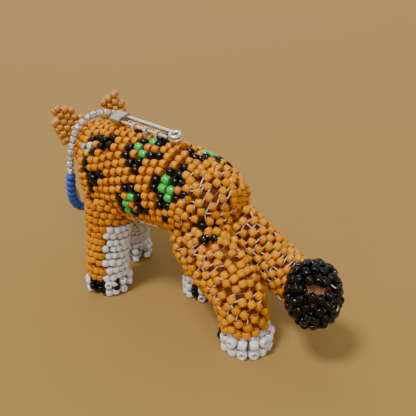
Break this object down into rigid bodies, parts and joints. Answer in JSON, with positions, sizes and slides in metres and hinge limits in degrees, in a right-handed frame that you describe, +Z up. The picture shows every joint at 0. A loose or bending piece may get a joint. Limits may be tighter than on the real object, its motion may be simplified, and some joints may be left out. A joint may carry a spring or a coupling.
{
  "type": "huichol beaded figure",
  "caption": "Standing spotted cat of netted glass seed beads over stuffed felt, with turned head, curled tail, bead collar and a safety pin on the back.",
  "frame": {"origin": "on the ground under the middle of the figure, midway along, across and between its outermost points", "axes": "+X towards the chest and head, +Y to the animal's left, +Z up"},
  "size_m": [0.0912, 0.0312, 0.0482],
  "materials": {
    "stuffed_felt": "brushed wool felt, stuffed",
    "amber_beads": "glossy translucent glass seed beads",
    "white_beads": "glossy opaque glass seed beads",
    "black_beads": "glossy opaque glass seed beads",
    "green_beads": "glossy translucent glass seed beads",
    "orange_beads": "glossy opaque glass seed beads",
    "eye_beads": "gold bead under a black bead",
    "clear_beads": "silver-lined clear glass seed beads",
    "blue_beads": "glossy opaque glass seed beads",
    "thread": "waxed beading thread",
    "pin_wire": "nickel-plated wire"
  },
  "bodies": {
    "figure": {"torso_core": "stuffed_felt", "torso_net": "amber_beads", "belly_panel": "white_beads", "rosette_rings": "black_beads", "rosette_greens": "green_beads", "rosette_oranges": "orange_beads", "shoulder_beads": "black_beads", "head_core": "stuffed_felt", "head_net": "amber_beads", "muzzle_panel": "white_beads", "left_ear": "amber_beads", "right_ear": "amber_beads", "left_eye": "eye_beads", "right_eye": "eye_beads", "nose_beads": "black_beads", "front_left_leg_core": "stuffed_felt", "front_right_leg_core": "stuffed_felt", "rear_left_leg_core": "stuffed_felt", "rear_right_leg_core": "stuffed_felt", "front_left_leg_net": "amber_beads", "front_right_leg_net": "amber_beads", "rear_left_leg_net": "amber_beads", "rear_right_leg_net": "amber_beads", "front_left_inner_panel": "white_beads", "front_right_inner_panel": "white_beads", "rear_left_inner_panel": "white_beads", "rear_right_inner_panel": "white_beads", "front_left_paw": "white_beads", "front_right_paw": "white_beads", "rear_left_paw": "white_beads", "rear_right_paw": "white_beads", "toe_lines": "black_beads", "collar_stitch": "thread", "pin_arm": "pin_wire", "pin_stitches": "thread"},
    "tail": {"tail_core": "stuffed_felt", "tail_net": "amber_beads", "tail_tip": "black_beads"},
    "collar": {"collar_cord": "thread", "collar_clear_beads": "clear_beads", "collar_blue_beads": "blue_beads"},
    "pin": {"pin_back": "pin_wire", "pin_clasp": "pin_wire"}
  },
  "joints": [
    {"name": "tail_swing", "type": "hinge", "parent": "figure", "child": "tail", "pos_m": [-0.01606, 0.00129, 0.025], "axis": [0, 0, 1], "range_deg": [-6, 6], "stiffness_Nm_per_rad": 0.01},
    {"name": "collar_swing", "type": "hinge", "parent": "figure", "child": "collar", "pos_m": [0.02431, -0.00431, 0.04426], "axis": [-0.4226, -0.9063, 0], "range_deg": [0, 12]},
    {"name": "pin_flip", "type": "hinge", "parent": "figure", "child": "pin", "pos_m": [-0.00257, 0.00419, 0.0424], "axis": [-0.9903, 0, -0.1392], "range_deg": [0, 90]}
  ]
}
